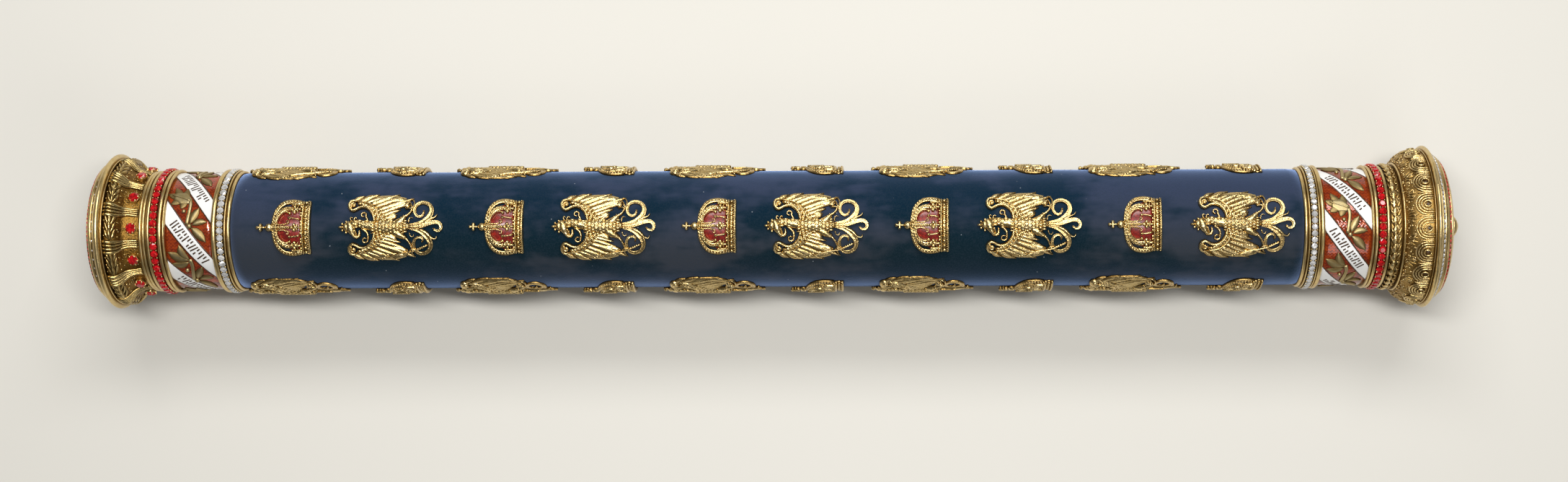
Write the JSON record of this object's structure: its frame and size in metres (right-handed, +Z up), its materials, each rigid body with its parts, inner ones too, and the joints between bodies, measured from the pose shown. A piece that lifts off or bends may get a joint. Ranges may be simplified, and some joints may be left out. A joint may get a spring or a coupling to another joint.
{
  "type": "field marshal baton",
  "caption": "Ceremonial field marshal's baton: velvet tube set with gilt eagles and crowns, with jewelled and enamelled gilt mounts and a flanged cap at each end.",
  "frame": {"origin": "bottom centre of the baton's bounding box, on the surface that it lies on", "axes": "+X along the baton towards its larger flange, +Z up, +Y across it"},
  "size_m": [0.4702, 0.0558, 0.0556],
  "materials": {
    "gilt": "cast and chased gilt metal, burnished on the raised work, dark in the recesses",
    "velvet": "deep blue silk velvet, rubbed greyer in places",
    "enamel": "translucent red enamel over an engraved ground, with white enamel ribbons",
    "ruby": "cut red stones",
    "diamond": "cut clear stones"
  },
  "bodies": {
    "root": {"cap_left": "gilt", "cap_right": "gilt", "crown_01": "gilt", "crown_02": "gilt", "crown_03": "gilt", "crown_04": "gilt", "crown_05": "gilt", "crown_06": "gilt", "crown_07": "gilt", "crown_08": "gilt", "crown_09": "gilt", "crown_10": "gilt", "crown_11": "gilt", "crown_12": "gilt", "crown_13": "gilt", "crown_14": "gilt", "crown_15": "gilt", "crown_16": "gilt", "crown_17": "gilt", "crown_18": "gilt", "crown_19": "gilt", "crown_20": "gilt", "diamond_band_left": "gilt", "diamond_band_right": "gilt", "diamonds_left": "diamond", "diamonds_right": "diamond", "eagle_01": "gilt", "eagle_02": "gilt", "eagle_03": "gilt", "eagle_04": "gilt", "eagle_05": "gilt", "eagle_06": "gilt", "eagle_07": "gilt", "eagle_08": "gilt", "eagle_09": "gilt", "eagle_10": "gilt", "eagle_11": "gilt", "eagle_12": "gilt", "eagle_13": "gilt", "eagle_14": "gilt", "eagle_15": "gilt", "eagle_16": "gilt", "eagle_17": "gilt", "eagle_18": "gilt", "eagle_19": "gilt", "eagle_20": "gilt", "enamel_band_left": "enamel", "enamel_band_right": "enamel", "end_boss_right": "gilt", "end_plate_left": "gilt", "end_plate_right": "gilt", "garland_ring": "gilt", "rubies_left": "ruby", "rubies_right": "ruby", "ruby_band_left": "gilt", "ruby_band_right": "gilt", "velvet_tube": "velvet"}
  },
  "joints": []
}
